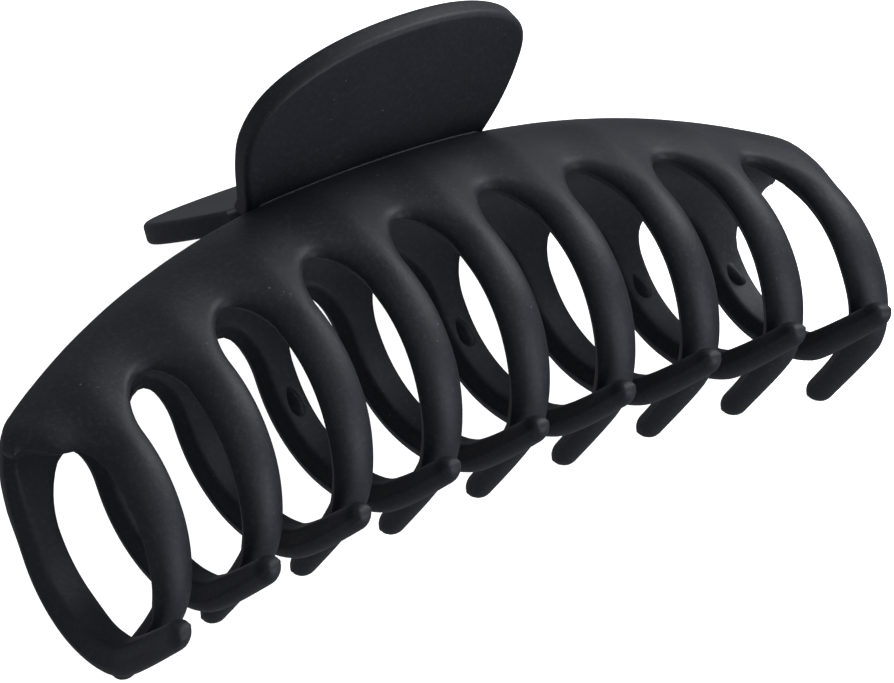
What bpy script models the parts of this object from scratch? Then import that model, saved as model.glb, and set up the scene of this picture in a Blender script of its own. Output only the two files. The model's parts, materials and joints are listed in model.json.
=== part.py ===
"""Claw clip for hair, lying closed on its rear jaw.

Two equal toothed jaws turn on one steel pin, and a torsion spring on the pin holds them shut. Each jaw is one
moulding: an arched spine, nine curved teeth, a thumb tab, two hinge knuckles and small grip pegs inside.

A jaw is worked out in its own frame, in millimetres: the pin's axis is X, Y points from the teeth up to the tab,
and Z points outwards. The front jaw stands in that frame, the rear jaw is turned half a turn about Y, and the
clip's empty then leans them both so that the clip lies on its rear tab and its front teeth.
"""
import math

import bmesh
import bpy
import numpy as np
from mathutils import Vector

MM = 0.001

# Teeth and spine
TEETH = 9
PITCH = 12.35            # between two teeth of one jaw
TOOTH_OFFSET = 2.24      # from the middle of the jaw to its middle tooth
AXIAL_PLAY = 1.54        # how far the rear jaw sits along the pin
TOOTH_HALF_WIDTH = 2.55  # where a tooth leaves the spine
NECK_HALF_WIDTH = 2.08   # where the teeth of both jaws pass each other
TIP_HALF_WIDTH = 1.4
TIP_SHARE = 0.55         # what is left of the width at the very tip
SWEEP = 1.36             # how far the tips stand towards +X
FAN = 1.37               # how much further apart they stand at HALF_SPAN
TOOTH_OUTER = 1.7        # from the parting line to the round outer side
TOOTH_INNER = 1.5        # from the parting line to the flat inner side
FLAT_SHARE = 0.7         # share of the width that the inner side is flat over
SPINE_OUTER = 1.35
SPINE_INNER = 1.25
HALF_SPAN = 52.5         # from the middle to the outermost teeth
HINGE_ABOVE_SPINE = 1.0  # the pin's axis over the spine's top edge
SPINE_OUT = 1.55         # the spine's top edge from the mid-plane
BULGE = 10.4             # how far the teeth swing out past the top edge
# Share of it lost at HALF_SPAN, growing with the first, second and fourth power of the distance from the middle
BULGE_LOSS = (-0.05, 0.29, 0)
REACH = 13.6             # how far the tips pass the top edge to the other side
DEPTH = 34.45            # from the top edge down to the tips
# Drops at HALF_SPAN that grow in the same way
TOP_DROP = (0, 9.5, 2.5)
FOOT_DROP = (0.45, 3.0, 1.4)
# The middle line of a tooth at equal steps from spine to tip: outwards as a share of BULGE (of REACH where it is
# negative), downwards as a share of the depth
TOOTH_LINE = ((0, 0), (0.434, 0.085), (0.799, 0.29), (0.984, 0.489), (0.91, 0.67), (0.634, 0.816),
              (0.196, 0.924), (-0.364, 0.974), (-1, 1))
ARCH_FOOT = 0.313        # share of a tooth's line where the slots' round tops begin
ARCH_RISE = 0.10         # share of the line that a slot's round top takes
ARCH_LIP = 0.05          # share of the line over which the spine thins out to a slot's edge
LOBE = 6.4               # how far the spine runs on past its first tooth
ROUND_TIP = 0.035        # share of the line that the blunt tip's rounding takes
ROUND_RIM = 0.03
HOLLOW = 0.35            # how much thinner the spine gets between the roots of the teeth
CORNER = 1.8             # rounding of the ends of the spine's top edge
CORNER_SHARE = 0.065

# Thumb tab
TAB_LEAN = math.radians(68.9)
TAB_BASE = (3.3, 0.4)    # outwards and up from the pin's axis
TAB_ROOT = 1.1           # how far the tab runs down into the spine
TAB_HEIGHT = 20.4
TAB_THICKNESS = 2.5
TAB_EDGE = 0.8           # radius of its rim
TAB_BASE_DROP = 1.1      # how much lower its base is at the sides
TAB_FOOT = 2.6           # height of the foot, which gets thicker towards the spine
TAB_FLARE = 0.12         # how much thicker it is at the base
# Half of the tab's outline, from the base to the top: half width, and height as a share of TAB_HEIGHT
TAB_OUTLINE = ((17.8, 0), (19.0, 0.35), (17.4, 0.69), (12.0, 0.895), (0, 1))

# Hinge
PIN_RADIUS = 0.8
PIN_HALF_LENGTH = 14.0
PIN_HEAD = (1.5, 0.7)    # radius and thickness
PIN_CHAMFER = 0.2
BORE_RADIUS = 1.1
KNUCKLE_RADIUS = 2.1
KNUCKLES = ((-12.2, -9.0), (6.9, 10.05))
KNUCKLE_WEB = (3.0, -2.2, 0.9)   # centre outwards and up, and radius, of the web's foot inside the spine
HINGE_CLEARANCE = 2.75   # radius kept free round the pin for the coil and the other jaw's knuckles
HINGE_CLEARANCE_HALF = 15.0

# Spring
WIRE_RADIUS = 0.5
COIL_RADIUS = 1.9
COIL_TURNS = 6
COIL_HALF = 4.6
LEG_LENGTH = 9.5
LEG_TILT = math.radians(4)

# Grip pegs inside the teeth
PEG_TEETH = (1, 2, 4, 6, 8)
PEG_PLACE = 0.385        # share of the tooth's line
PEG_SIZE = (0.9, 2.2, 1.5)   # half width, half length and height
PEG_SINK = 0.4           # how far a peg starts inside its tooth
PEG_LEAN = 0.5           # how far its top hangs towards the tip, as a share of its half length


# ---------------------------------------------------------------- shape of a jaw

def smooth(value):
    """Ease from 0 to 1."""
    v = min(max(value, 0.0), 1.0)
    return v * v * (3 - 2 * v)


def dome(distance, radius):
    """Height of a round edge at a distance from it: 0 on the edge, 1 from the radius on."""
    v = min(max(distance / radius, 0.0), 1.0)
    return math.sqrt(1 - (1 - v) ** 2)


def through(points, share):
    """A smooth curve through evenly spaced points, read at a share of its way."""
    points = np.asarray(points, float)
    last = len(points) - 1
    place = min(max(share, 0.0), 1.0) * last
    i = min(int(place), last - 1)
    f = place - i
    before = points[i - 1] if i > 0 else 2 * points[0] - points[1]
    after = points[i + 2] if i + 2 <= last else 2 * points[last] - points[last - 1]
    a, b = points[i], points[i + 1]
    return 0.5 * (2 * a + (b - before) * f + (2 * before - 5 * a + 4 * b - after) * f ** 2
                  + (3 * a - before - 3 * b + after) * f ** 3)


def arch(x, drop):
    u = x / HALF_SPAN
    return drop[0] * u + drop[1] * u ** 2 + drop[2] * u ** 4


def middle(x, share):
    """Point of the jaw's middle surface: outwards and up from the pin's axis."""
    out, down = through(TOOTH_LINE, share)
    bulge = BULGE * (1 - arch(x, BULGE_LOSS))
    top = arch(x, TOP_DROP)
    depth = DEPTH - top + arch(x, FOOT_DROP)
    return SPINE_OUT + out * (bulge if out > 0 else REACH), -HINGE_ABOVE_SPINE - top - down * depth


def surface(x, share, offset):
    """Point of the jaw at an offset from its middle surface, positive towards the outer side."""
    step = 0.004
    a = middle(x, max(share - step, 0))
    b = middle(x, min(share + step, 1))
    along = np.array([b[0] - a[0], b[1] - a[1]])
    along /= np.linalg.norm(along)
    out, up = middle(x, share)
    return Vector((x, up + along[0] * offset, out - along[1] * offset))


def tooth_x(k, share=0.0):
    """Middle of a tooth at a share of its line: the teeth lean sideways and fan out towards their tips."""
    x = (k - (TEETH + 1) / 2) * PITCH + TOOTH_OFFSET
    return x + (SWEEP + FAN * x / HALF_SPAN) * share ** 2


def half_width(share):
    neck = NECK_HALF_WIDTH + (TOOTH_HALF_WIDTH - NECK_HALF_WIDTH) * (1 - smooth((share - 0.35) / 0.3))
    tip = neck + (TIP_HALF_WIDTH - neck) * smooth((share - 0.75) / 0.2)
    return tip * (TIP_SHARE + (1 - TIP_SHARE) * dome(1 - share, ROUND_TIP))


class Column:
    """One line of points from the spine's top edge downwards."""

    def __init__(self, end, tooth=None, across=0.0, x=0.0, lobe=None):
        self.end = end          # share of the way where the spine ends below it
        self.tooth = tooth      # the tooth that it runs on into
        self.across = across    # place across the tooth, -1 to 1
        self.x = x              # where it stands in a slot
        self.lobe = lobe        # place from the spine's long end, 0, to its first tooth, 1
        self.edge = lobe == 0 or (tooth == TEETH and across == 1)


def slot_end(place):
    """Where the spine ends at a place across a slot, -1 to 1."""
    return ARCH_FOOT - ARCH_RISE * math.sqrt(max(1 - place * place, 0.0))


def jaw_columns(across, slot):
    """Columns from the spine's long end to its last tooth."""
    columns = [Column(slot_end(-f * f), lobe=f) for f in (0, 0.25, 0.6, 0.85)]
    gap = PITCH - 2 * TOOTH_HALF_WIDTH
    for k in range(1, TEETH + 1):
        columns += [Column(ARCH_FOOT, tooth=k, across=a) for a in across]
        if k < TEETH:
            middle_x = tooth_x(k) + PITCH / 2
            columns += [Column(slot_end(s), x=middle_x + s * gap / 2) for s in slot]
    return columns


def column_x(column, share):
    """Where a column stands: the corners of the spine's top edge are rounded, and the teeth narrow downwards."""
    corner = CORNER * (1 - dome(share, CORNER_SHARE))
    if column.lobe is not None:
        right = tooth_x(1, share) - TOOTH_HALF_WIDTH
        left = right - LOBE + corner
        return left + (right - left) * column.lobe
    if column.tooth:
        x = tooth_x(column.tooth, share) + column.across * half_width(share)
        return x - (corner * (1 + column.across) / 2 if column.tooth == TEETH else 0)
    return column.x


def offsets(column, share):
    """Outer and inner offsets of a column's point from the middle surface."""
    rim = dome(share, ROUND_RIM)
    spine_outer, spine_inner = SPINE_OUTER * rim, SPINE_INNER * rim
    if column.tooth:
        side = abs(column.across)
        outer = TOOTH_OUTER * math.sqrt(max(1 - side * side, 0.0))
        inner = TOOTH_INNER * min((1 - side) / (1 - FLAT_SHARE), 1.0)
        tip = dome(1 - share, ROUND_TIP)
        outer, inner = outer * tip, inner * tip * (1 - 0.25 * smooth((share - 0.8) / 0.2))
        u = smooth((share - 0.35 * ARCH_FOOT) / (0.65 * ARCH_FOOT))
        return spine_outer * (1 - u) + outer * u * rim, spine_inner * (1 - u) + inner * u * rim
    lip = dome(column.end - share, ARCH_LIP)
    hollow = 1 - HOLLOW * smooth((share - 0.3 * column.end) / (0.5 * column.end))
    return spine_outer * lip * hollow, spine_inner * lip * hollow


def jaw_shell(name, across, slot, spine_rows, tooth_rows):
    """Spine and teeth as one closed mesh: an outer and an inner skin that meet along the parting line."""
    columns = jaw_columns(across, slot)
    verts, outer, inner = [], {}, {}

    def add(row, col, column, share, shared):
        out, inn = offsets(column, share)
        x = column_x(column, share)
        outer[row, col] = len(verts)
        verts.append(surface(x, share, 0.0 if shared else out))
        if not shared:
            verts.append(surface(x, share, -inn))
        inner[row, col] = len(verts) - 1

    last = len(spine_rows) - 1
    for col, column in enumerate(columns):
        side = column.tooth and abs(column.across) == 1
        for row, f in enumerate(spine_rows):
            foot = row == last and (side or not column.tooth)
            add(row, col, column, f * column.end, row == 0 or foot or column.edge)
        if column.tooth:
            for step, share in enumerate(tooth_rows, 1):
                add(last + step, col, column, share, bool(side) or step == len(tooth_rows))

    faces = []

    def skin(grid, row, col, flip):
        loop = [grid[row, col], grid[row + 1, col], grid[row + 1, col + 1], grid[row, col + 1]]
        loop = [v for i, v in enumerate(loop) if v != loop[i - 1]]
        faces.append(loop[::-1] if flip else loop)

    for col in range(len(columns) - 1):
        a, b = columns[col], columns[col + 1]
        rows = last + (len(tooth_rows) if a.tooth and a.tooth == b.tooth else 0)
        for row in range(rows):
            skin(outer, row, col, False)
            skin(inner, row, col, True)
    mesh = bpy.data.meshes.new(name)
    mesh.from_pydata([v * MM for v in verts], [], faces)
    return mesh


# ---------------------------------------------------------------- tab, knuckles, pegs

def tab_point(x, height, offset):
    """Point on the tab: height up its slope, offset from its middle towards the outer side."""
    out = TAB_BASE[0] + height * math.sin(TAB_LEAN) + offset * math.cos(TAB_LEAN)
    up = TAB_BASE[1] + height * math.cos(TAB_LEAN) - offset * math.sin(TAB_LEAN)
    return Vector((x, up, out))


def tab_outline(steps):
    """The tab's outline, counter-clockwise from the base on the right: points (x, height).

    One point on each side stands exactly at the top of the foot."""
    half = [through(TAB_OUTLINE, i / steps) * (1, TAB_HEIGHT) for i in range(steps + 1)]
    right = []
    for x, height in half:
        drop = TAB_BASE_DROP * max(1 - height / (0.3 * TAB_HEIGHT), 0.0) * (x / half[0][0]) ** 2
        right.append((x, height - drop))
    above = next(i for i, (x, height) in enumerate(right) if height > TAB_FOOT)
    (x0, h0), (x1, h1) = right[above - 1:above + 1]
    right.insert(above, (x0 + (x1 - x0) * (TAB_FOOT - h0) / (h1 - h0), TAB_FOOT))
    base = [(half[0][0] * f, -TAB_ROOT - TAB_BASE_DROP * f * f) for f in (-1, -0.5, 0, 0.5, 1)]
    return right + [(-x, h) for x, h in right[-2::-1]] + base


def inset(outline, distance):
    """Move a closed outline inwards."""
    points = np.array(outline, float)
    along = np.roll(points, -1, axis=0) - np.roll(points, 1, axis=0)
    along /= np.linalg.norm(along, axis=1)[:, None]
    return points + np.stack([-along[:, 1], along[:, 0]], 1) * distance


def tab_mesh(name, steps, rim):
    """A flat plate with a round rim, a little thicker on the outer side of its foot."""
    outline = tab_outline(steps)
    half = TAB_THICKNESS / 2
    verts, rings = [], []
    for side in (1, -1):
        angles = [math.pi / 2 * i / rim for i in range(rim + 1)]
        if side == 1:
            angles.reverse()
        for angle in angles:
            offset = half - TAB_EDGE * (1 - math.sin(angle))
            rings.append(len(verts))
            for (x, height), (_, level) in zip(inset(outline, TAB_EDGE * (1 - math.cos(angle))), outline):
                height = TAB_FOOT if level == TAB_FOOT else height
                flare = TAB_FLARE * max(1 - height / TAB_FOOT, 0.0) if side == 1 else 0.0
                verts.append(tab_point(x, height, side * offset + flare) * MM)
    count = len(outline)
    # The outer face is two flats, above and below the top of the foot
    right, left = (i for i, (x, height) in enumerate(outline) if height == TAB_FOOT)
    upper = list(range(right, left + 1))
    lower = list(range(left, count)) + list(range(right + 1))
    faces = [upper[::-1], lower[::-1], list(range(len(verts) - count, len(verts)))]
    for low, high in zip(rings, rings[1:]):
        for i in range(count):
            j = (i + 1) % count
            faces.append([low + i, low + j, high + j, high + i])
    mesh = bpy.data.meshes.new(name)
    mesh.from_pydata(verts, [], faces)
    return mesh


def prism(name, outline, low, high):
    """An outline in the plane across the pin, points (outwards, up), drawn out along X."""
    count = len(outline)
    verts = [Vector((x, up, out)) * MM for x in (low, high) for out, up in outline]
    faces = [list(range(count)), list(range(2 * count - 1, count - 1, -1))]
    for i in range(count):
        j = (i + 1) % count
        faces.append([i, i + count, j + count, j])
    mesh = bpy.data.meshes.new(name)
    mesh.from_pydata(verts, [], faces)
    return mesh


def circle(radius, steps):
    angles = [2 * math.pi * i / steps for i in range(steps)]
    return [(radius * math.cos(a), radius * math.sin(a)) for a in angles]


def knuckle_outline(steps):
    """A round eye on a web that runs down into the spine."""
    out, up, foot = KNUCKLE_WEB
    heading = math.atan2(up, out)
    spread = math.asin((KNUCKLE_RADIUS - foot) / math.hypot(out, up))
    points = []
    for i in range(steps + 1):
        angle = heading + math.pi / 2 - spread + (math.pi + 2 * spread) * i / steps
        points.append((KNUCKLE_RADIUS * math.cos(angle), KNUCKLE_RADIUS * math.sin(angle)))
    for i in range(steps // 2 + 1):
        angle = heading - math.pi / 2 + spread + (math.pi - 2 * spread) * i * 2 / steps
        points.append((out + foot * math.cos(angle), up + foot * math.sin(angle)))
    return points


def peg_mesh(name, tooth, rings, sides):
    """A long drop-shaped stub on a tooth's inner side."""
    width, length, height = PEG_SIZE
    x = tooth_x(tooth, PEG_PLACE)
    foot = PEG_SINK - TOOTH_INNER
    rise = height + PEG_SINK
    span = DEPTH * 1.6       # about the length of a tooth's line
    verts = []
    for r in range(rings):
        f = r / rings
        size = math.sqrt(1 - f * f)
        for i in range(sides):
            a = 2 * math.pi * i / sides
            share = PEG_PLACE + length * (size * math.sin(a) + PEG_LEAN * f) / span
            verts.append(surface(x + width * size * math.cos(a), share, foot - rise * f) * MM)
    verts.append(surface(x, PEG_PLACE + length * PEG_LEAN / span, foot - rise) * MM)
    faces = [list(range(sides))]
    for r in range(rings - 1):
        for i in range(sides):
            j = (i + 1) % sides
            faces.append([r * sides + j, r * sides + i, (r + 1) * sides + i, (r + 1) * sides + j])
    top = (rings - 1) * sides
    faces += [[top + (i + 1) % sides, top + i, len(verts) - 1] for i in range(sides)]
    mesh = bpy.data.meshes.new(name)
    mesh.from_pydata(verts, [], faces)
    return mesh


# ---------------------------------------------------------------- scene objects

def face_out(mesh):
    bm = bmesh.new()
    bm.from_mesh(mesh)
    bmesh.ops.recalc_face_normals(bm, faces=bm.faces)
    bm.to_mesh(mesh)
    bm.free()


def put(name, mesh, parent, finish=None):
    """Add a mesh as an object: with a finish it is a part, without one it is a tool for a Boolean."""
    face_out(mesh)
    obj = bpy.data.objects.new(name, mesh)
    bpy.context.collection.objects.link(obj)
    obj.parent = parent
    if finish:
        mesh.materials.append(finish)
        mesh.shade_smooth()
        mesh.set_sharp_from_angle(angle=math.radians(40))
    else:
        obj.hide_render = True
        obj.display_type = "WIRE"
    return obj


def cut(obj, tool, operation):
    boolean = obj.modifiers.new(operation.title(), "BOOLEAN")
    boolean.operation = operation
    boolean.solver = "EXACT"
    boolean.object = tool


def material(name, colour, roughness, metallic=0.0):
    mat = bpy.data.materials.new(name)
    mat.use_nodes = True
    shader = mat.node_tree.nodes["Principled BSDF"]
    shader.inputs["Base Color"].default_value = (*colour, 1)
    shader.inputs["Roughness"].default_value = roughness
    shader.inputs["Metallic"].default_value = metallic
    return mat


def empty(name, parent=None):
    obj = bpy.data.objects.new(name, None)
    bpy.context.collection.objects.link(obj)
    obj.parent = parent
    return obj


def make_jaw(name, parent, plastic):
    """One moulding, its origin on the pin's axis."""
    across = (-1, -FLAT_SHARE, 0, FLAT_SHARE, 1)
    slot = (-0.72, 0, 0.72)
    spine_rows = (0, 0.12, 0.45, 0.8, 1)
    tip_start = 1 - ROUND_TIP
    tooth_rows = [ARCH_FOOT + (tip_start - ARCH_FOOT) * i / 9 for i in range(1, 10)] + [1]
    jaw = put(name, jaw_shell(name, across, slot, spine_rows, tooth_rows), parent, plastic)
    cut(jaw, put(name + ".tab", tab_mesh(name + ".tab", 8, 2), parent), "UNION")
    clearance = prism(name + ".clearance", circle(HINGE_CLEARANCE, 20), -HINGE_CLEARANCE_HALF, HINGE_CLEARANCE_HALF)
    cut(jaw, put(name + ".clearance", clearance, parent), "DIFFERENCE")
    for i, (low, high) in enumerate(KNUCKLES):
        label = f"{name}.knuckle{i}"
        cut(jaw, put(label, prism(label, knuckle_outline(12), low, high), parent), "UNION")
    bore = prism(name + ".bore", circle(BORE_RADIUS, 16), -PIN_HALF_LENGTH, PIN_HALF_LENGTH)
    cut(jaw, put(name + ".bore", bore, parent), "DIFFERENCE")
    for k in PEG_TEETH:
        label = f"{name}.peg{k}"
        cut(jaw, put(label, peg_mesh(label, k, 3, 8), parent), "UNION")
    return jaw


def make_pin(parent, steel):
    """A turned pin with a flat head at each end."""
    radius, thick = PIN_HEAD
    end = PIN_HALF_LENGTH
    line = [(end, 0), (end, radius - PIN_CHAMFER), (end - PIN_CHAMFER, radius), (end - thick, radius)]
    line.append((end - thick, PIN_RADIUS))
    line += [(-x, r) for x, r in line[::-1]]
    steps = 16
    verts = [Vector((line[0][0], 0, 0)) * MM]
    for x, r in line[1:-1]:
        for i in range(steps):
            a = 2 * math.pi * i / steps
            verts.append(Vector((x, r * math.cos(a), r * math.sin(a))) * MM)
    verts.append(Vector((line[-1][0], 0, 0)) * MM)
    faces = []
    last = len(verts) - 1
    for i in range(steps):
        j = (i + 1) % steps
        faces.append([0, 1 + i, 1 + j])
        faces.append([last, last - steps + j, last - steps + i])
        for r in range(len(line) - 3):
            a = 1 + r * steps
            faces.append([a + i, a + steps + i, a + steps + j, a + j])
    mesh = bpy.data.meshes.new("hinge_pin")
    mesh.from_pydata(verts, [], faces)
    return put("hinge_pin", mesh, parent, steel)


def spring_line(steps):
    """Middle line of the spring's wire, from the front tab's leg to the rear tab's."""
    start = math.pi - TAB_LEAN                      # where the coil leaves for the front tab's leg
    turn = 2 * math.pi * COIL_TURNS + 2 * TAB_LEAN - math.pi
    count = round(steps * turn / (2 * math.pi))
    coil = []
    for i in range(count + 1):
        a = start + turn * i / count
        x = -COIL_HALF + 2 * COIL_HALF * i / count
        coil.append(Vector((x, COIL_RADIUS * math.sin(a), COIL_RADIUS * math.cos(a))))

    def leg(point, lean, side):
        heading = Vector((0, math.cos(lean), side * math.sin(lean)))
        return [point + heading * LEG_LENGTH * f for f in (0.15, 0.5, 1)]

    front = leg(coil[0], TAB_LEAN + LEG_TILT, 1)
    rear = leg(coil[-1], TAB_LEAN + LEG_TILT, -1)
    return front[::-1] + coil + rear


def make_spring(parent, steel):
    curve = bpy.data.curves.new("torsion_spring", "CURVE")
    curve.dimensions = "3D"
    curve.bevel_depth = WIRE_RADIUS * MM
    curve.bevel_resolution = 1
    curve.use_fill_caps = True
    spline = curve.splines.new("POLY")
    points = spring_line(12)
    spline.points.add(len(points) - 1)
    for point, place in zip(spline.points, points):
        point.co = (*(place * MM), 1)
    curve.materials.append(steel)
    obj = bpy.data.objects.new("torsion_spring", curve)
    bpy.context.collection.objects.link(obj)
    obj.parent = parent
    return obj


def lie_down(clip, jaws):
    """Lean the clip until its rear tab and its front teeth's tips lie level, and put it on the floor."""
    tip_out, tip_up = middle(0, 1)
    edge = tab_point(0, TAB_HEIGHT - TAB_EDGE, TAB_THICKNESS / 2)
    tip_out -= TOOTH_OUTER / 2
    clip.rotation_euler.x = math.atan2(edge.z + tip_out, edge.y - tip_up)
    bpy.context.view_layer.update()
    depsgraph = bpy.context.evaluated_depsgraph_get()
    low, high = Vector((1e9,) * 3), Vector((-1e9,) * 3)
    for jaw in jaws:
        for v in jaw.evaluated_get(depsgraph).data.vertices:
            world = jaw.matrix_world @ v.co
            low = Vector(map(min, low, world))
            high = Vector(map(max, high, world))
    clip.location = (-(low.x + high.x) / 2, -(low.y + high.y) / 2, -low.z)


def main():
    for obj in list(bpy.data.objects):
        bpy.data.objects.remove(obj, do_unlink=True)
    plastic = material("matte_black_plastic", (0.014, 0.015, 0.018), 0.55)
    steel = material("spring_steel", (0.55, 0.55, 0.56), 0.3, 1.0)

    clip = empty("clip")
    front = empty("front_hinge", clip)
    rear = empty("rear_hinge", clip)
    front.location.x = -AXIAL_PLAY / 2 * MM
    rear.location.x = AXIAL_PLAY / 2 * MM
    rear.rotation_euler.y = math.pi
    jaws = [make_jaw("front_jaw", front, plastic), make_jaw("rear_jaw", rear, plastic)]
    make_pin(clip, steel)
    make_spring(clip, steel)
    lie_down(clip, jaws)


main()
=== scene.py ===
"""Looks of the claw clip: smooth moulded jaws, steel pin and spring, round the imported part.

As in the part's source, a jaw is worked out in its own frame, in millimetres: the pin's axis is X, Y points
from the teeth up to the tab and Z points outwards. The rear jaw is the same moulding turned half a turn about
Y, and both then lean with the clip onto the floor.
"""

import json
import math

import bmesh
import bpy
import numpy as np
from mathutils import Matrix, Vector


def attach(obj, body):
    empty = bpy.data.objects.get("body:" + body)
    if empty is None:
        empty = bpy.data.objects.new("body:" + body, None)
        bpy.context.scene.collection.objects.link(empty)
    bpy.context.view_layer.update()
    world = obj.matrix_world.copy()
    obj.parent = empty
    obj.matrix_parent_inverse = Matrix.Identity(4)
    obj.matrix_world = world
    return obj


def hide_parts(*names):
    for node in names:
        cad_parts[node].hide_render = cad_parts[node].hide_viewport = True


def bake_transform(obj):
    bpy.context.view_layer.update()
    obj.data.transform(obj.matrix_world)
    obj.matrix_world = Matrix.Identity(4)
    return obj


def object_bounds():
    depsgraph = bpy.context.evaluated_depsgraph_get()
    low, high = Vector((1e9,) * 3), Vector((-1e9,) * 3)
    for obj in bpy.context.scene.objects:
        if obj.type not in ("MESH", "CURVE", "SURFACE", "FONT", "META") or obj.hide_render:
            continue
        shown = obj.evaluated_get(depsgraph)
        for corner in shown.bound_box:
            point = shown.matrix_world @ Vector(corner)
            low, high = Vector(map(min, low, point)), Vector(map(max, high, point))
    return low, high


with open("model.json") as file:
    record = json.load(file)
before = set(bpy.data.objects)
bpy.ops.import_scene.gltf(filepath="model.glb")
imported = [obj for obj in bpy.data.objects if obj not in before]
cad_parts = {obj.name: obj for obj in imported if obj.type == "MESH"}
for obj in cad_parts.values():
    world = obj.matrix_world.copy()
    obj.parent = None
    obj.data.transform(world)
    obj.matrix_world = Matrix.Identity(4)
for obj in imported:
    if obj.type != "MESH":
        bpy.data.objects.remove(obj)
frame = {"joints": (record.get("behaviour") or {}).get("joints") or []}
CAD_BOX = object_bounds()
MM = 0.001

# ---------------------------------------------------------------- sizes of a jaw, in millimetres

TEETH = 9
PITCH = 12.35
TOOTH_OFFSET = 2.24
AXIAL_PLAY = 1.54        # how far the jaws stand apart along the pin
TOOTH_HALF_WIDTH = 2.55
NECK_HALF_WIDTH = 2.08
NECK_SPAN = (0.52, 0.34)  # the share of its line where a tooth narrows, and over how much of it
TIP_HALF_WIDTH = 1.4
TIP_SPAN = (0.72, 0.24)  # the same, towards its tip
TIP_END = 0.35           # share of that width that the very end keeps
SWEEP = 1.36             # how far every tip stands towards the right
FAN = 1.37               # and how far the outermost tips spread
TOOTH_OUTER = 1.7
TOOTH_INNER = 1.5
SPINE_OUTER = 1.35
SPINE_INNER = 1.25
TIP_THINNING = 0.16      # share of its thickness that a tooth loses towards its tip
THIN_SPAN = (0.70, 0.28)
ROUND_TIP = 0.03         # share of a tooth's line that its round tip takes
HALF_SPAN = 52.5
HINGE_ABOVE_SPINE = 1.0
SPINE_OUT = 1.55
BULGE = 10.4
BULGE_LOSS = (-0.05, 0.29, 0)
REACH = 13.6
DEPTH = 34.45
TOP_DROP = (0, 9.5, 2.5)
FOOT_DROP = (0.45, 3.0, 1.4)
LINE_LENGTH = 57.0       # about the length of a tooth's line
LINE_STEPS = 400
TOOTH_LINE = ((0, 0), (0.434, 0.085), (0.799, 0.29), (0.984, 0.489), (0.91, 0.67), (0.634, 0.816),
              (0.196, 0.924), (-0.364, 0.974), (-1, 1))
FLAT_SHARE = 0.68        # share of a tooth's width that its inner side is flat over
FLAT_TO_ROUND = (0.88, 0.09)    # where the flat inner side turns round, near the tip
END_WIDER = 0.35         # how much wider the last tooth is, on the side of the others
END_SPAN = (0.5, 0.2)    # where that ends
ARCH_FOOT = 0.313        # share of a tooth's line where the spine ends, between the slots' round tops
ARCH_RISE = 0.10
ARCH_EDGE = 0.9          # rounding of the outer edge at the top of a slot
LOBE = 6.4               # length of the spine's long end, past the first tooth
LOBE_CUT = 0.10          # how much less it reaches down at its very end
LOBE_EDGE = 2.9          # rounding of its lower edge
ROUND_RIM = 1.6          # rounding of the spine's top edge
ROUND_END = 1.4          # and of its long end
CORNER = 1.8             # how far the spine's top corners are cut back
CORNER_SHARE = 0.065
VALLEY = 0.75            # depth of the soft hollows in the spine above the slots
VALLEY_START = 0.2
RIDGE = 0.35             # how far the roots of the teeth stand out of the spine
SEAM = 0.1               # half width of the parting line's edge
FLASH = 0.09             # how far its thin flash stands out
TAB_LEAN = math.radians(68.9)
TAB_BASE = (3.3, 0.4)
TAB_ROOT = 1.1
TAB_HEIGHT = 20.3
TAB_THICKNESS = 2.5
TAB_EDGE = 0.65
TAB_RIM_RING = 0.05      # width of the ring that keeps the tab's faces flat up to its round edge
TAB_BASE_DROP = 1.1
TAB_SKEW = (0.7, -0.2)   # how far the tab's base and its upper half stand to one side
BEAD = 0.2               # radius of the thin bead along the foot of the tab
TAB_OUTLINE = ((16.9, 0), (18.95, 0.35), (17.8, 0.69), (12.5, 0.89), (0, 1))
PEG_TEETH = (1, 2, 4, 6, 8)
PEG_PLACE = 0.385        # share of the tooth's line where a peg stands
PEG_SINK = 0.25
PEG_SPREAD = 1.25        # how much wider its foot is
PEG_SIZE = (1.0, 2.4, 0.9)

# The hinge, in millimetres
PIN_RADIUS = 0.8
PIN_HALF_LENGTH = 14.0
PIN_HEAD = (1.5, 0.7)    # radius and thickness
PIN_HEAD_EDGE = 0.22
BORE_RADIUS = 1.1
KNUCKLE_RADIUS = 2.1
KNUCKLE_EDGE = 0.15
KNUCKLES = ((-12.2, -9.0), (6.9, 10.05))
KNUCKLE_WEB = (3.0, -2.2, 0.9)
HINGE_CLEARANCE = 2.75
HINGE_CLEARANCE_HALF = 15.0
WIRE_RADIUS = 0.5
COIL_RADIUS = 1.9
COIL_TURNS = 6
COIL_HALF = 4.6
LEG_LENGTH = 9.5
LEG_TILT = math.radians(4)

SHARP_ANGLE = math.radians(38)    # edges that are sharper than this stay sharp in the shading

# How a union or difference that failed is tried again
NUDGE = 0.01             # how much further on, in millimetres
TRIES = 8
VOLUME_SLACK = 0.001     # share by which the volume may miss what it can be

LEAN = math.radians(12.346)    # how the closed clip lies on the floor
HINGE = Vector(frame["joints"][0]["pos_m"])
CLIP = Matrix.Translation(HINGE) @ Matrix.Rotation(LEAN, 4, "X")


# ---------------------------------------------------------------- smooth curves

def smooth(value):
    v = min(max(value, 0.0), 1.0)
    return v * v * (3 - 2 * v)


def ramp(value, start, length):
    """0 up to the start, 1 from a length further on, and a smooth rise between."""
    return smooth((value - start) / length)


def dome(distance, radius):
    """Height of a round edge at a distance from it: 0 on the edge, 1 from the radius on."""
    v = min(max(distance / radius, 0.0), 1.0)
    return math.sqrt(1 - (1 - v) ** 2)


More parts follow.
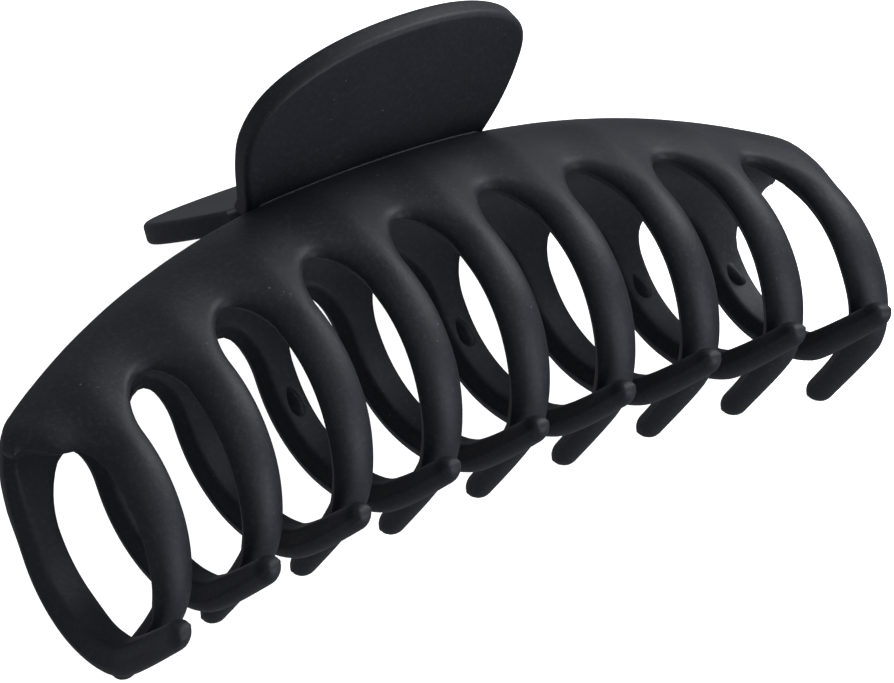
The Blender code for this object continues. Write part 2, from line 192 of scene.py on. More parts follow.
class Spline:
    """A curve through points without kinks; share counts equal steps between the points."""

    def __init__(self, points, scale=(1, 1)):
        self.points = np.array(points, float)
        lengths = np.linalg.norm(np.diff(self.points * scale, axis=0), axis=1)
        self.knots = np.r_[0, np.cumsum(lengths)]
        count = len(points)
        system = np.eye(count)
        right = np.zeros_like(self.points)
        for i in range(1, count - 1):
            a, b = lengths[i - 1], lengths[i]
            system[i, i - 1:i + 2] = a, 2 * (a + b), b
            after = (self.points[i + 1] - self.points[i]) / b
            before = (self.points[i] - self.points[i - 1]) / a
            right[i] = 6 * (after - before)
        self.bend = np.linalg.solve(system, right)

    def place(self, share):
        """Where a share lies along the knots, without a jump of speed."""
        steps = np.diff(self.knots)
        last = len(steps)
        s = min(max(share, 0.0), 1.0) * last
        i = min(int(s), last - 1)
        f = s - i
        before = steps[i - 1] if i else steps[i]
        after = steps[i + 1] if i + 1 < last else steps[i]
        start = 2 * before * steps[i] / (before + steps[i])
        end = 2 * after * steps[i] / (after + steps[i])
        return self.knots[i] + (3 * f ** 2 - 2 * f ** 3) * steps[i] + (f - 2 * f ** 2 + f ** 3) * start \
            + (f ** 3 - f ** 2) * end

    def at(self, share):
        t = self.place(share)
        i = min(max(int(np.searchsorted(self.knots, t, "right")) - 1, 0), len(self.knots) - 2)
        h = self.knots[i + 1] - self.knots[i]
        a, b = (self.knots[i + 1] - t) / h, (t - self.knots[i]) / h
        return a * self.points[i] + b * self.points[i + 1] \
            + ((a ** 3 - a) * self.bend[i] + (b ** 3 - b) * self.bend[i + 1]) * h * h / 6


TOOTH_CURVE = Spline(TOOTH_LINE, (BULGE, DEPTH))
TAB_CURVE = Spline([(x, h * TAB_HEIGHT) for x, h in TAB_OUTLINE]
                   + [(-x, h * TAB_HEIGHT) for x, h in TAB_OUTLINE[-2::-1]])
LINE_TABLE = np.array([TOOTH_CURVE.at(i / LINE_STEPS) for i in range(LINE_STEPS + 1)])


# ---------------------------------------------------------------- shape of a jaw

def arch(x, drop):
    """A smooth change along the jaw, from its linear, square and fourth-power parts at the ends."""
    u = x / HALF_SPAN
    return drop[0] * u + drop[1] * u ** 2 + drop[2] * u ** 4


def middle(x, share):
    """Point of the jaw's middle surface: outwards and up from the pin's axis."""
    place = min(max(share, 0.0), 1.0) * LINE_STEPS
    i = min(int(place), LINE_STEPS - 1)
    out, down = LINE_TABLE[i] + (LINE_TABLE[i + 1] - LINE_TABLE[i]) * (place - i)
    bulge = BULGE * (1 - arch(x, BULGE_LOSS))
    reach = bulge + (REACH - bulge) * smooth(0.5 - out / 0.3)
    top = arch(x, TOP_DROP)
    depth = DEPTH - top + arch(x, FOOT_DROP)
    return SPINE_OUT + out * reach, -HINGE_ABOVE_SPINE - top - down * depth


def surface(x, share, offset):
    """Point of the jaw at an offset from its middle surface, positive towards the outer side."""
    step = 0.006
    a = middle(x, max(share - step, 0))
    b = middle(x, min(share + step, 1))
    out, up = b[0] - a[0], b[1] - a[1]
    length = math.hypot(out, up)
    here = middle(x, share)
    return x, here[1] + out / length * offset, here[0] - up / length * offset


def tooth_x(k, share):
    """Where the middle of a tooth stands along the jaw."""
    x = (k - (TEETH + 1) / 2) * PITCH + TOOTH_OFFSET
    return x + (SWEEP + FAN * x / HALF_SPAN) * share ** 3


def half_width(share):
    """Half of a tooth's width along its line."""
    neck = NECK_HALF_WIDTH + (TOOTH_HALF_WIDTH - NECK_HALF_WIDTH) * (1 - ramp(share, *NECK_SPAN))
    tip = neck + (TIP_HALF_WIDTH - neck) * ramp(share, *TIP_SPAN)
    return tip * (TIP_END + (1 - TIP_END) * dome(1 - share, ROUND_TIP))


def slot_distance(x, share, centre, gap):
    """Distance to the edge of a slot from a point of the spine."""
    q = (x - centre) / gap
    v = max(ARCH_FOOT - share, 0.0) / ARCH_RISE
    r = math.hypot(q, v)
    slope = math.hypot(q / gap, v / (ARCH_RISE * LINE_LENGTH)) / max(r, 1e-6)
    return (r - 1) / max(slope, 1e-6)


def lobe_distance(f, share):
    """Distance to the lower edge of the spine's long end; f runs from its end, 0, to the first tooth, 1."""
    v = max(ARCH_FOOT - share, 0.0) / ARCH_RISE
    r = math.hypot(f * f, v)
    slope = math.hypot(2 * f ** 3 / LOBE, v / (ARCH_RISE * LINE_LENGTH)) / max(r, 1e-6)
    arch_distance = (r - 1) / max(slope, 1e-6)
    cut_distance = (lobe_end(f) - share) * LINE_LENGTH * 0.85
    return min(arch_distance, cut_distance)


def lobe_end(f):
    """Share of the way where the long end stops; it slants up towards its corner."""
    return ARCH_FOOT - ARCH_RISE * math.sqrt(1 - min(f, 1.0) ** 4) - LOBE_CUT * (1 - smooth(f / 0.62))


def slot_centre(k, share):
    """Middle and half width of the slot after tooth k."""
    left, right = tooth_x(k, share) + TOOTH_HALF_WIDTH, tooth_x(k + 1, share) - TOOTH_HALF_WIDTH
    if k + 1 == TEETH:
        right -= END_WIDER
    return (left + right) / 2, (right - left) / 2


def soft_cap(value):
    """The value itself at first, bending over to 1."""
    if value < 0.6:
        return value
    return value - (value - 0.6) ** 2 / 1.6 if value < 1.4 else 1.0


def thickness(x, share, edges, rim, width):
    """Outer and inner offsets of a point of the jaw from its middle surface."""
    near = min(edges)
    edge = dome(near, width)
    blend = ramp(share, 0.4 * ARCH_FOOT, 0.7 * ARCH_FOOT)
    outer = SPINE_OUTER + (TOOTH_OUTER - SPINE_OUTER) * blend
    inner = SPINE_INNER + (TOOTH_INNER - SPINE_INNER) * blend
    tip = dome(1 - share, ROUND_TIP) * (1 - TIP_THINNING * ramp(share, *THIN_SPAN))
    outer *= edge * rim * tip
    flat = soft_cap(near / ((1 - FLAT_SHARE) * TOOTH_HALF_WIDTH))
    flat += (edge - flat) * ramp(share, *FLAT_TO_ROUND)
    inner *= flat * rim * tip
    if share < 1.4 * ARCH_FOOT:
        fade = 1 - ramp(share / ARCH_FOOT, 0.75, 0.6)
        shaped = ramp(share, VALLEY_START * ARCH_FOOT, 0.5 * ARCH_FOOT) * fade
        for k in range(1, TEETH):
            centre, gap = slot_centre(k, share)
            along = (x - centre) / (0.9 * gap)
            if abs(along) < 2.5:
                outer -= VALLEY * shaped * math.exp(-along * along) * rim * edge
        shaped = shaped * rim * edge
        along = (x - tooth_x(1, share) + TOOTH_HALF_WIDTH + 0.3 * LOBE) / (0.4 * LOBE)
        outer -= 0.5 * VALLEY * shaped * math.exp(-along * along)
        across = [(x - tooth_x(k, share)) / (0.75 * TOOTH_HALF_WIDTH) for k in range(1, TEETH + 1)]
        outer += RIDGE * shaped * math.exp(-min(a * a for a in across))
    return outer + SEAM, inner + SEAM


def column_list():
    """Columns from the spine's long end to its last tooth: (kind, tooth or slot, place)."""
    across = [-1, -0.985, -0.94, -0.87, -0.8, -0.745, -0.7, -0.64, -0.5, -0.3, -0.1]
    across += [-a for a in across[::-1]]
    slot = [-0.985, -0.93, -0.83, -0.68, -0.48, -0.25, 0, 0.25, 0.48, 0.68, 0.83, 0.93, 0.985]
    lobe = [0, 0.03, 0.08, 0.15, 0.24, 0.36, 0.5, 0.64, 0.78, 0.9]
    columns = [("lobe", 0, f) for f in lobe]
    for k in range(1, TEETH + 1):
        columns += [("tooth", k, a) for a in across]
        if k < TEETH:
            columns += [("slot", k, q) for q in slot]
    return columns


def column_end(kind, place):
    """Share of the way where the spine ends."""
    if kind == "tooth":
        return ARCH_FOOT
    if kind == "lobe":
        return lobe_end(place)
    return ARCH_FOOT - ARCH_RISE * math.sqrt(1 - place * place)


def jaw_point(kind, k, place, share):
    """Where a point of a column stands, and its outer and inner offsets."""
    corner = CORNER * (1 - dome(share, CORNER_SHARE))
    rim = dome(share * LINE_LENGTH, ROUND_RIM)
    below_arch = smooth((share - ARCH_FOOT + ARCH_RISE) / ARCH_RISE)
    width = ARCH_EDGE + (TOOTH_HALF_WIDTH - ARCH_EDGE) * below_arch
    flash = 0.0
    if kind == "lobe" or (kind == "tooth" and k == 1 and share < ARCH_FOOT):
        near_tooth = smooth((place + 1) / 2) if kind == "tooth" else 0.0
        width = LOBE_EDGE + (width - LOBE_EDGE) * near_tooth
    if kind == "lobe":
        right = tooth_x(1, share) - TOOTH_HALF_WIDTH
        left = right - LOBE + corner
        x = left + (right - left) * place
        edges = [lobe_distance(place, share), slot_distance(x, share, *slot_centre(1, share))]
        rim *= dome(x - left, ROUND_END)
        flash = -FLASH if place == 0 else 0.0
    elif kind == "slot":
        centre, gap = slot_centre(k, share)
        x = centre + place * gap
        edges = [slot_distance(x, share, centre, gap)]
        edges += [slot_distance(x, share, *slot_centre(j, share)) for j in (k - 1, k + 1) if 0 < j < TEETH]
        if k == 1:
            edges.append(lobe_distance(1.0, share) + x - tooth_x(1, share) + TOOTH_HALF_WIDTH)
    elif share >= ARCH_FOOT:
        width = half_width(share)
        x = tooth_x(k, share) + place * width
        if k == TEETH:
            x -= END_WIDER * (1 - ramp(share, *END_SPAN)) * (1 - place) / 2
        edges = [(1 - abs(place)) * width]
        flash = FLASH * place if abs(place) == 1 else 0.0
    else:
        x = tooth_x(k, share) + place * TOOTH_HALF_WIDTH
        if k == TEETH:
            x -= END_WIDER * (1 - place) / 2
        edges = [slot_distance(x, share, *slot_centre(j, share)) for j in (k - 1, k) if 0 < j < TEETH]
        if k == 1:
            edges.append(lobe_distance(1.0, share) + (1 + place) * TOOTH_HALF_WIDTH)
        if k == TEETH:
            edges.append((1 - place) * TOOTH_HALF_WIDTH)
            flash = FLASH if place == 1 else 0.0
    if kind == "tooth" and k == TEETH:
        x -= corner * (1 + place) / 2
    outer, inner = thickness(x, share, [max(e, 0.0) for e in edges], rim, width)
    return x + flash, outer, inner


def jaw_shell(name):
    """Spine and teeth as one closed mesh: an outer and an inner skin joined along the parting line."""
    columns = column_list()
    spine_rows = [0, 0.004, 0.012, 0.03, 0.055, 0.09, 0.14, 0.21, 0.29, 0.37, 0.45, 0.53, 0.61, 0.69, 0.76,
                  0.82, 0.87, 0.91, 0.945, 0.97, 0.988, 1]
    tip_rows = [0.03, 0.024, 0.018, 0.012, 0.007, 0.003, 0.0008, 0]
    tooth_rows = [ARCH_FOOT + (0.965 - ARCH_FOOT) * i / 54 for i in range(1, 55)]
    tooth_rows += [1 - f for f in tip_rows]
    last = len(spine_rows) - 1
    index, outer, inner = {}, [], []
    for c, (kind, k, place) in enumerate(columns):
        end = column_end(kind, place)
        shares = [f * end for f in spine_rows] + (tooth_rows if kind == "tooth" else [])
        for r, share in enumerate(shares):
            x, out, inn = jaw_point(kind, k, place, share)
            if r == last and kind != "tooth":
                share += FLASH / LINE_LENGTH
            index[r, c] = len(outer)
            outer.append(surface(x, share, out))
            inner.append(surface(x, share, -inn))
    faces = []
    for c in range(len(columns) - 1):
        a, b = columns[c], columns[c + 1]
        same = a[0] == b[0] == "tooth" and a[1] == b[1]
        for r in range(last + (len(tooth_rows) if same else 0)):
            faces.append([index[r, c], index[r + 1, c], index[r + 1, c + 1], index[r, c + 1]])
    count = len(outer)
    edge_faces = {}
    for face in faces:
        for a, b in zip(face, face[1:] + face[:1]):
            edge_faces.setdefault((min(a, b), max(a, b)), []).append((a, b))
    rims = [[b, a, a + count, b + count] for uses in edge_faces.values() if len(uses) == 1 for a, b in uses]
    faces += [[i + count for i in face[::-1]] for face in faces] + rims
    mesh = bpy.data.meshes.new(name)
    mesh.from_pydata([Vector(p) * MM for p in outer + inner], [], faces)
    return mesh


# ---------------------------------------------------------------- tab, knuckles, pegs

def tab_point(x, height, offset):
    """Point of the tab at a height over its base, and at an offset from its middle plane."""
    out = TAB_BASE[0] + height * math.sin(TAB_LEAN) + offset * math.cos(TAB_LEAN)
    up = TAB_BASE[1] + height * math.cos(TAB_LEAN) - offset * math.sin(TAB_LEAN)
    return Vector((x, up, out))


def tab_outline(steps):
    """The tab's outline, counter-clockwise from the base on the right: points (x, height)."""
    upper = []
    for i in range(2 * steps + 1):
        x, height = TAB_CURVE.at(i / (2 * steps))
        drop = TAB_BASE_DROP * max(1 - height / (0.3 * TAB_HEIGHT), 0.0) * (x / TAB_OUTLINE[0][0]) ** 2
        side = TAB_SKEW[0] + (TAB_SKEW[1] - TAB_SKEW[0]) * smooth(2 * height / TAB_HEIGHT)
        upper.append((x + side, height - drop))
    half = TAB_OUTLINE[0][0]
    base = [(half * f + TAB_SKEW[0], -TAB_ROOT - TAB_BASE_DROP * f * f) for f in np.linspace(-1, 1, 33)]
    return upper + base


def inset(outline, distance):
    """The outline moved inwards by a distance."""
    points = np.array(outline, float)
    along = np.roll(points, -1, axis=0) - np.roll(points, 1, axis=0)
    along /= np.linalg.norm(along, axis=1)[:, None]
    return points + np.stack([-along[:, 1], along[:, 0]], 1) * distance


def tab_mesh(name, steps, rim):
    """A flat plate with a round rim; a last thin ring keeps the flat faces flat up to the rim."""
    outline = tab_outline(steps)
    half = TAB_THICKNESS / 2
    rings = []
    for side in (1, -1):
        ring = [(TAB_EDGE * (1 - math.cos(a)), side * (half - TAB_EDGE * (1 - math.sin(a))))
                for a in np.linspace(0, math.pi / 2, rim + 1)]
        ring.append((TAB_EDGE + TAB_RIM_RING, side * half))
        rings += ring[::-1] if side == 1 else ring
    count = len(outline)
    verts = []
    for distance, offset in rings:
        verts += [tab_point(x, h, offset) * MM for x, h in inset(outline, distance)]
    faces = [list(range(count))[::-1], list(range(len(verts) - count, len(verts)))]
    for r in range(len(rings) - 1):
        for i in range(count):
            j = (i + 1) % count
            faces.append([r * count + i, r * count + j, (r + 1) * count + j, (r + 1) * count + i])
    mesh = bpy.data.meshes.new(name)
    mesh.from_pydata(verts, [], faces)
    return mesh


def tab_foot_line(steps):
    """Where the tab's outer face comes out of the spine, from end to end."""
    line = []
    half = TAB_OUTLINE[0][0] - 2 * TAB_EDGE
    for x in np.linspace(TAB_SKEW[0] - half, TAB_SKEW[0] + half, steps + 1):
        last = None
        for i in range(61):
            share = 0.15 * i / 60
            rim = dome(share * LINE_LENGTH, ROUND_RIM)
            here = Vector(surface(x, share, SPINE_OUTER * rim + SEAM))
            gap = here - tab_point(x, 0, TAB_THICKNESS / 2)
            side = gap.z * math.cos(TAB_LEAN) - gap.y * math.sin(TAB_LEAN)
            if side > 0 and last:
                line.append(last[0].lerp(here, last[1] / (last[1] - side)))
                break
            last = (here, side)
    return line


def prism(name, outline, low, high, bevel=0.0):
    """An outline in the plane across the pin, points (outwards, up), drawn out along X."""
    count = len(outline)
    if bevel:
        steps = [(low, bevel), (low + bevel, 0), (high - bevel, 0), (high, bevel)]
    else:
        steps = [(low, 0), (high, 0)]
    verts = []
    for x, distance in steps:
        verts += [Vector((x, up, out)) * MM for out, up in inset(outline, distance)]
    faces = [list(range(count)), list(range(len(verts) - 1, len(verts) - count - 1, -1))]
    for r in range(len(steps) - 1):
        for i in range(count):
            j = (i + 1) % count
            faces.append([r * count + i, (r + 1) * count + i, (r + 1) * count + j, r * count + j])
    mesh = bpy.data.meshes.new(name)
    mesh.from_pydata(verts, [], faces)
    return mesh


def circle(radius, steps):
    angles = [2 * math.pi * i / steps for i in range(steps)]
    return [(radius * math.cos(a), radius * math.sin(a)) for a in angles]


def knuckle_outline(steps):
    """A round eye on a web that runs down into the spine."""
    out, up, foot = KNUCKLE_WEB
    heading = math.atan2(up, out)
    spread = math.asin((KNUCKLE_RADIUS - foot) / math.hypot(out, up))
    points = []
    for i in range(steps + 1):
        angle = heading + math.pi / 2 - spread + (math.pi + 2 * spread) * i / steps
        points.append((KNUCKLE_RADIUS * math.cos(angle), KNUCKLE_RADIUS * math.sin(angle)))
    for i in range(steps // 2 + 1):
        angle = heading - math.pi / 2 + spread + (math.pi - 2 * spread) * i * 2 / steps
        points.append((out + foot * math.cos(angle), up + foot * math.sin(angle)))
    return points


def peg_mesh(name, tooth, rings, sides):
    """A long drop-shaped stub on a tooth's inner side, with soft flanks."""
    width, length, height = PEG_SIZE
    x = tooth_x(tooth, PEG_PLACE)
    verts = []
    for r in range(rings):
        size = PEG_SPREAD * (1 - r / rings)
        rise = (height + PEG_SINK) * (1 - (size / PEG_SPREAD) ** 2) ** 1.4
        for i in range(sides):
            a = 2 * math.pi * i / sides
            drop = 1 + 0.25 * math.sin(a)
            share = PEG_PLACE + length * (size * math.sin(a) + 0.4 * rise / height) / LINE_LENGTH
            verts.append(surface(x + width * size * math.cos(a) * drop, share, PEG_SINK - TOOTH_INNER - rise))
    share = PEG_PLACE + length * 0.4 * (1 + PEG_SINK / height) / LINE_LENGTH
    verts.append(surface(x, share, -TOOTH_INNER - height))
    faces = [list(range(sides))]
    for r in range(rings - 1):
        for i in range(sides):
            j = (i + 1) % sides
            faces.append([r * sides + j, r * sides + i, (r + 1) * sides + i, (r + 1) * sides + j])
    top = (rings - 1) * sides
    faces += [[top + (i + 1) % sides, top + i, len(verts) - 1] for i in range(sides)]
    mesh = bpy.data.meshes.new(name)
    mesh.from_pydata([Vector(v) * MM for v in verts], [], faces)
    return mesh


# ---------------------------------------------------------------- putting pieces together

def add(name, mesh):
    """Add a closed mesh, its faces turned outwards."""
    bm = bmesh.new()
    bm.from_mesh(mesh)
    bmesh.ops.recalc_face_normals(bm, faces=bm.faces)
    bm.to_mesh(mesh)
    bm.free()
    obj = bpy.data.objects.new(name, mesh)
    bpy.context.scene.collection.objects.link(obj)
    return obj


def volume(mesh):
    """Volume inside a closed mesh."""
    bm = bmesh.new()
    bm.from_mesh(mesh)
    result = bm.calc_volume()
    bm.free()
    return result


def combine(obj, tool_mesh, operation):
    """Union with, or difference from, a mesh, applied at once.

    Where two surfaces nearly coincide the solver may drop one of the meshes, which shows in the volume. Then
    it is tried again with the tool a little further on, and if that never works the tool is left out.
    """
    tool = add("tool", tool_mesh)
    boolean = obj.modifiers.new(operation, "BOOLEAN")
    boolean.operation = operation
    boolean.solver = "EXACT"
    boolean.object = tool
    before, added = volume(obj.data), volume(tool.data)
    low, high = (before, before + added) if operation == "UNION" else (before - added, before)
    for attempt in range(TRIES):
        tool.location = Vector((1, 0.7, 0.4)) * attempt * NUDGE * MM
        bpy.context.view_layer.update()
        result = bpy.data.meshes.new_from_object(obj.evaluated_get(bpy.context.evaluated_depsgraph_get()))
        if low * (1 - VOLUME_SLACK) <= volume(result) <= high * (1 + VOLUME_SLACK):
            obj.data = result
            break
        print(operation, "with", tool_mesh.name, "failed at attempt", attempt + 1)
    obj.modifiers.clear()
    bpy.data.objects.remove(tool)


def make_jaw_mesh():
    """The jaw in its own frame, with everything moulded to it."""
    jaw = add("moulding", jaw_shell("moulding"))
    combine(jaw, tab_mesh("tab", 48, 8), "UNION")
    combine(jaw, tube("bead", tab_foot_line(60), BEAD, 10), "UNION")
    half = HINGE_CLEARANCE_HALF
    combine(jaw, prism("clearance", circle(HINGE_CLEARANCE, 64), -half, half), "DIFFERENCE")
    for low, high in KNUCKLES:
        combine(jaw, prism("knuckle", knuckle_outline(40), low, high, KNUCKLE_EDGE), "UNION")
    combine(jaw, prism("bore", circle(BORE_RADIUS, 40), -half, half), "DIFFERENCE")
    for k in PEG_TEETH:
        combine(jaw, peg_mesh("peg", k, 8, 24), "UNION")
    mesh = jaw.data
    bpy.data.objects.remove(jaw)
    return mesh


def finish_mesh(obj, material):
    obj.data.materials.clear()
    obj.data.materials.append(material)
    obj.data.shade_smooth()
    obj.data.set_sharp_from_angle(angle=SHARP_ANGLE)


def keep_in_box(mesh):
    """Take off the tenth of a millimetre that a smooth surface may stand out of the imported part's box."""
    low, high = (np.array(corner) for corner in CAD_BOX)
    co = np.zeros(len(mesh.vertices) * 3)
    mesh.vertices.foreach_get("co", co)
    co = np.clip(co.reshape(-1, 3), low, high)
    mesh.vertices.foreach_set("co", co.ravel())
    mesh.update()


# ---------------------------------------------------------------- materials

def nodes_of(name):
    """A new material, its nodes and links, and its shader."""
    material = bpy.data.materials.new(name)
    material.use_nodes = True
    tree = material.node_tree
    return material, tree.nodes, tree.links, tree.nodes["Principled BSDF"]


def noise(nodes, links, coordinates, scale, detail=2.0, roughness=0.5):
    node = nodes.new("ShaderNodeTexNoise")
    node.inputs["Scale"].default_value = scale
    node.inputs["Detail"].default_value = detail
    node.inputs["Roughness"].default_value = roughness
    links.new(coordinates, node.inputs["Vector"])
    return node.outputs["Fac"]


def remap(nodes, links, value, low, high, to_low, to_high):
    node = nodes.new("ShaderNodeMapRange")
    for socket, number in zip(("From Min", "From Max", "To Min", "To Max"), (low, high, to_low, to_high)):
        node.inputs[socket].default_value = number
    links.new(value, node.inputs["Value"])
    return node.outputs["Result"]


def mix(nodes, links, factor, first, second):
    node = nodes.new("ShaderNodeMix")
    node.data_type = "RGBA"
    links.new(factor, node.inputs["Factor"])
    for socket, value in ((node.inputs[6], first), (node.inputs[7], second)):
        if isinstance(value, tuple):
            socket.default_value = (*value, 1)
        else:
            links.new(value, socket)
    return node.outputs[2]


def multiply(nodes, links, first, second):
    node = nodes.new("ShaderNodeMath")
    node.operation = "MULTIPLY"
    links.new(first, node.inputs[0])
    if isinstance(second, float):
        node.inputs[1].default_value = second
    else:
        links.new(second, node.inputs[1])
    return node.outputs[0]


def bump(nodes, links, height, strength, distance, normal=None):
    node = nodes.new("ShaderNodeBump")
    node.inputs["Strength"].default_value = strength
    node.inputs["Distance"].default_value = distance
    links.new(height, node.inputs["Height"])
    if normal:
        links.new(normal, node.inputs["Normal"])
    return node.outputs["Normal"]


def soft_touch_plastic():
    """Black plastic with a soft-touch skin: fine grain, cloudy sheen, and a few bright specks that are partly
    dust and partly painted glints.
    """
    material, nodes, links, shader = nodes_of("soft_touch_black")
    place = nodes.new("ShaderNodeTexCoord").outputs["Object"]
    cloud = noise(nodes, links, place, 90, 3)
    grain = noise(nodes, links, place, 2000, 2)
    mottle = noise(nodes, links, place, 1900, 3, 0.7)
    patchy = remap(nodes, links, cloud, 0.3, 0.7, 0, 1)
    soft = mix(nodes, links, patchy, (0.0088, 0.0098, 0.0138), (0.0124, 0.0136, 0.0186))
    spotted = remap(nodes, links, mottle, 0.50, 0.70, 0, 0.8)
    base = mix(nodes, links, spotted, soft, (0.0270, 0.0285, 0.0355))
    # Sparse bright specks in the colour: partly real dust, partly painted glints
    dust_and_glint_dots = nodes.new("ShaderNodeTexVoronoi")
    dust_and_glint_dots.inputs["Scale"].default_value = 520
    links.new(place, dust_and_glint_dots.inputs["Vector"])
    dot = remap(nodes, links, dust_and_glint_dots.outputs["Distance"], 0.035, 0.075, 1, 0)
    rare = remap(nodes, links, noise(nodes, links, place, 260, 1), 0.55, 0.60, 0, 1)
    speck = multiply(nodes, links, dot, rare)
    dust_and_glints = mix(nodes, links, multiply(nodes, links, speck, 0.8), base, (0.13, 0.13, 0.135))
    links.new(dust_and_glints, shader.inputs["Base Color"])
    links.new(remap(nodes, links, cloud, 0.25, 0.75, 0.50, 0.60), shader.inputs["Roughness"])
    fine = bump(nodes, links, grain, 0.6, 0.00004)
    links.new(bump(nodes, links, speck, 0.4, 0.00005, fine), shader.inputs["Normal"])
    shader.inputs["IOR"].default_value = 1.46
    shader.inputs["Specular IOR Level"].default_value = 0.5
    return material


def spring_steel():
    """Drawn steel wire: fine lines along it and a slightly uneven shine."""
    material, nodes, links, shader = nodes_of("bright_steel")
    place = nodes.new("ShaderNodeTexCoord").outputs["Object"]
    cloud = noise(nodes, links, place, 500, 3)
    base = mix(nodes, links, cloud, (0.42, 0.42, 0.43), (0.62, 0.62, 0.63))
    links.new(base, shader.inputs["Base Color"])
    links.new(remap(nodes, links, cloud, 0.3, 0.7, 0.22, 0.36), shader.inputs["Roughness"])
    links.new(bump(nodes, links, noise(nodes, links, place, 4200, 2), 0.2, 0.00002), shader.inputs["Normal"])
    shader.inputs["Metallic"].default_value = 1.0
    return material


def floor_paper():
    material, nodes, links, shader = nodes_of("white_paper")
    place = nodes.new("ShaderNodeTexCoord").outputs["Object"]
    fibre = noise(nodes, links, place, 30, 4)
    links.new(mix(nodes, links, fibre, (0.86, 0.86, 0.86), (0.90, 0.90, 0.90)), shader.inputs["Base Color"])
    shader.inputs["Roughness"].default_value = 0.9
    shader.inputs["Specular IOR Level"].default_value = 0.1
    shader.inputs["Emission Color"].default_value = (1, 1, 1, 1)
    shader.inputs["Emission Strength"].default_value = 1.0
    return material


# ---------------------------------------------------------------- pin and spring

def pin_mesh():
    """A turned pin with a flat head at each end."""
    radius, thick = PIN_HEAD
    end = PIN_HALF_LENGTH
    bevel = PIN_HEAD_EDGE
    line = [(end, 0), (end, radius - bevel)]
    for angle in np.linspace(0.3, 1.57, 5):
        line.append((end - bevel * (1 - math.cos(angle)), radius - bevel * (1 - math.sin(angle))))
    line += [(end - thick, radius), (end - thick, PIN_RADIUS)]
    line += [(-x, r) for x, r in line[::-1]]
    steps = 40
    verts = [Vector((line[0][0], 0, 0)) * MM]
    for x, r in line[1:-1]:
        for i in range(steps):
            a = 2 * math.pi * i / steps
            verts.append(Vector((x, r * math.cos(a), r * math.sin(a))) * MM)
    verts.append(Vector((line[-1][0], 0, 0)) * MM)
    faces = []
    last = len(verts) - 1
    for i in range(steps):
        j = (i + 1) % steps
        faces.append([0, 1 + i, 1 + j])
        faces.append([last, last - steps + j, last - steps + i])
        for r in range(len(line) - 3):
            a = 1 + r * steps
            faces.append([a + i, a + steps + i, a + steps + j, a + j])
    mesh = bpy.data.meshes.new("pin")
    mesh.from_pydata(verts, [], faces)
    return mesh


def spring_path(steps):
    """Middle line of the spring's wire, from the front tab's leg to the rear tab's."""
    start = math.pi - TAB_LEAN
    turn = 2 * math.pi * COIL_TURNS + 2 * TAB_LEAN - math.pi
    count = round(steps * turn / (2 * math.pi))
    coil = []
    for i in range(count + 1):
        a = start + turn * i / count
        coil.append(Vector((-COIL_HALF + 2 * COIL_HALF * i / count, COIL_RADIUS * math.sin(a),
                            COIL_RADIUS * math.cos(a))))

    def leg(point, side):
        lean = TAB_LEAN + LEG_TILT
        heading = Vector((0, math.cos(lean), side * math.sin(lean)))
        return [point + heading * LEG_LENGTH * f for f in (0.04, 0.08, 0.15, 0.3, 0.5, 0.75, 0.98, 1)]

    return leg(coil[0], 1)[::-1] + coil + leg(coil[-1], -1)


def tube(name, path, radius, sides):
    """A round wire along a path, closed at both ends."""
    verts, faces = [], []
    side = None
    for i, point in enumerate(path):
        along = (path[min(i + 1, len(path) - 1)] - path[max(i - 1, 0)]).normalized()
        side = along.orthogonal() if side is None else side - along * side.dot(along)
        side.normalize()
        other = along.cross(side)
        r = radius * (0.75 if i in (0, len(path) - 1) else 1)
        for j in range(sides):
            a = 2 * math.pi * j / sides
            verts.append((point + (side * math.cos(a) + other * math.sin(a)) * r) * MM)
    for i in range(len(path) - 1):
        for j in range(sides):
            k = (j + 1) % sides
            faces.append([i * sides + j, i * sides + k, (i + 1) * sides + k, (i + 1) * sides + j])
    faces.append(list(range(sides))[::-1])
    faces.append(list(range(len(verts) - sides, len(verts))))
    mesh = bpy.data.meshes.new(name)
    mesh.from_pydata(verts, [], faces)
    return mesh


# ---------------------------------------------------------------- the object

plastic = soft_touch_plastic()
steel = spring_steel()

moulding = make_jaw_mesh()
for name, node, body, place in (
        ("front_jaw_moulding", "front_jaw", "front", Matrix.Translation((-AXIAL_PLAY / 2 * MM, 0, 0))),
        ("rear_jaw_moulding", "rear_jaw", "rear",
         Matrix.Translation((AXIAL_PLAY / 2 * MM, 0, 0)) @ Matrix.Rotation(math.pi, 4, "Y"))):
    mesh = moulding.copy()
    mesh.transform(CLIP @ place)
    keep_in_box(mesh)
    jaw = add(name, mesh)
    finish_mesh(jaw, plastic)
    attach(jaw, body)
    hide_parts(node)

pin = pin_mesh()
pin.transform(CLIP)
pin = add("steel_pin", pin)
finish_mesh(pin, steel)
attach(pin, "rear")
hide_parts("hinge_pin")

wire = tube("wire", spring_path(28), WIRE_RADIUS, 14)
wire.transform(CLIP)
spring = add("spring_wire", wire)
finish_mesh(spring, steel)
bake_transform(spring)
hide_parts("torsion_spring")


# ---------------------------------------------------------------- camera

# The view, against the clip's own axes: round its long axis's normal, up from it, and tilted in the picture
VIEW_TURN = math.radians(37.52)
VIEW_RISE = math.radians(-9.118)
VIEW_TILT = math.radians(28.209)
VIEW_DISTANCE = 423.5
VIEW_LENS = 158.2
VIEW_AIM = (0.0, -19.0, 0.0)
VIEW_MOVE = (-1.282, 1.852)    # how far the camera stands off that aim to its left and down


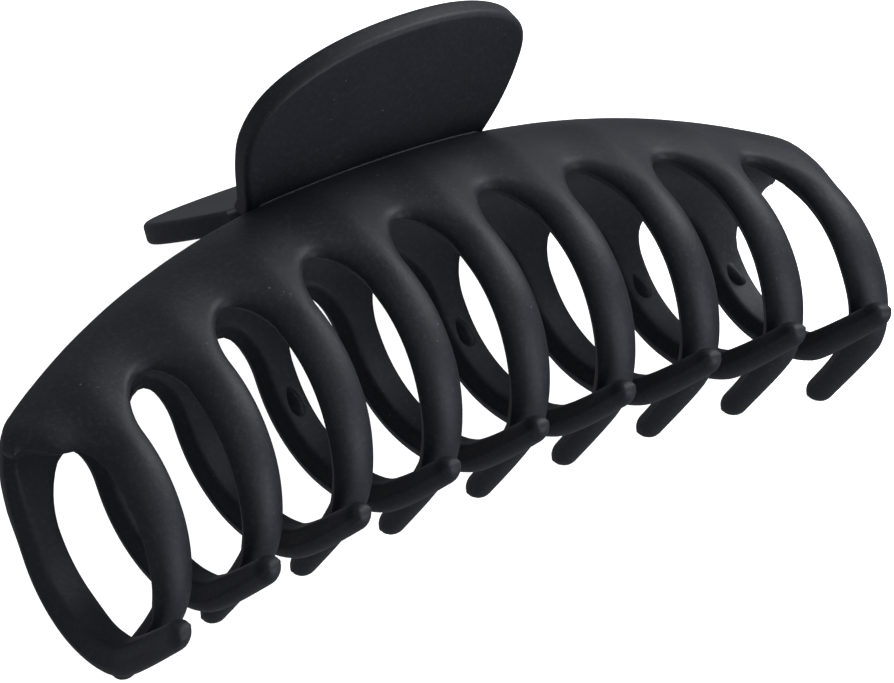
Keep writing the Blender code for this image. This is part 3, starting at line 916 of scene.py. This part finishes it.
def make_camera():
    forward = Vector((math.sin(VIEW_TURN) * math.cos(VIEW_RISE), -math.sin(VIEW_RISE),
                      -math.cos(VIEW_TURN) * math.cos(VIEW_RISE)))
    level = Vector((math.cos(VIEW_TURN), 0, math.sin(VIEW_TURN)))
    raised = level.cross(forward)
    right = level * math.cos(VIEW_TILT) - raised * math.sin(VIEW_TILT)
    up = level * math.sin(VIEW_TILT) + raised * math.cos(VIEW_TILT)
    place = Vector(VIEW_AIM) - forward * VIEW_DISTANCE - right * VIEW_MOVE[0] - up * VIEW_MOVE[1]
    turn = Matrix((right, up, -forward)).transposed().to_4x4()
    data = bpy.data.cameras.new("camera")
    data.lens = VIEW_LENS
    data.sensor_width = 36
    data.clip_start = 0.01
    camera = bpy.data.objects.new("camera", data)
    bpy.context.scene.collection.objects.link(camera)
    camera.matrix_world = CLIP @ Matrix.Translation(place * MM) @ turn
    bpy.context.scene.camera = camera
    return camera


camera = make_camera()


# ---------------------------------------------------------------- floor and light

FLOOR_HALF = 6.0              # in metres
ROOM_LIGHT = (0.27, 0.28)     # of the room round the clip, from below and from above

floor_mesh = bpy.data.meshes.new("floor")
corners = [(x * FLOOR_HALF, y * FLOOR_HALF, 0) for x, y in ((-1, -1), (1, -1), (1, 1), (-1, 1))]
floor_mesh.from_pydata(corners, [], [(0, 1, 2, 3)])
floor_mesh.materials.append(floor_paper())
floor = add("floor", floor_mesh)
# The camera sees its white, but it throws no light up under the teeth
floor.visible_diffuse = False
floor.visible_glossy = False


def softbox(name, place, size, power, colour):
    """A square soft light that looks at the clip; place is right, up and towards the camera, in metres."""
    data = bpy.data.lights.new(name, "AREA")
    data.shape = "RECTANGLE"
    data.size, data.size_y = size
    data.energy = power
    data.color = colour
    light = bpy.data.objects.new(name, data)
    bpy.context.scene.collection.objects.link(light)
    turn = camera.matrix_world.to_3x3()
    light.location = turn @ Vector(place)
    light.rotation_euler = light.location.to_track_quat("Z", "Y").to_euler()


softbox("key", (0.25, 0.28, 0.04), (0.25, 0.25), 0.90, (0.95, 0.96, 1.0))
softbox("side", (0.32, -0.12, 0.14), (0.22, 0.22), 0.52, (0.88, 0.91, 1.0))
softbox("fill", (0.1, 0.3, 0.9), (0.8, 0.8), 0.4, (0.90, 0.92, 1.0))


def studio_world():
    """White to the camera; to the clip a dim, slightly blue room."""
    world = bpy.data.worlds.new("studio")
    bpy.context.scene.world = world
    world.use_nodes = True
    nodes, links = world.node_tree.nodes, world.node_tree.links
    room = nodes["Background"]
    place = nodes.new("ShaderNodeTexCoord").outputs["Generated"]
    split = nodes.new("ShaderNodeSeparateXYZ")
    links.new(place, split.inputs[0])
    level = remap(nodes, links, split.outputs["Z"], -1, 1, ROOM_LIGHT[0], ROOM_LIGHT[1])
    room.inputs["Color"].default_value = (0.90, 0.905, 1.0, 1)
    links.new(level, room.inputs["Strength"])
    white = nodes.new("ShaderNodeBackground")
    white.inputs["Color"].default_value = (1, 1, 1, 1)
    white.inputs["Strength"].default_value = 1.2
    choice = nodes.new("ShaderNodeMixShader")
    links.new(nodes.new("ShaderNodeLightPath").outputs["Is Camera Ray"], choice.inputs[0])
    links.new(room.outputs[0], choice.inputs[1])
    links.new(white.outputs[0], choice.inputs[2])
    links.new(choice.outputs[0], nodes["World Output"].inputs["Surface"])


studio_world()
bpy.context.scene.view_settings.view_transform = "Standard"
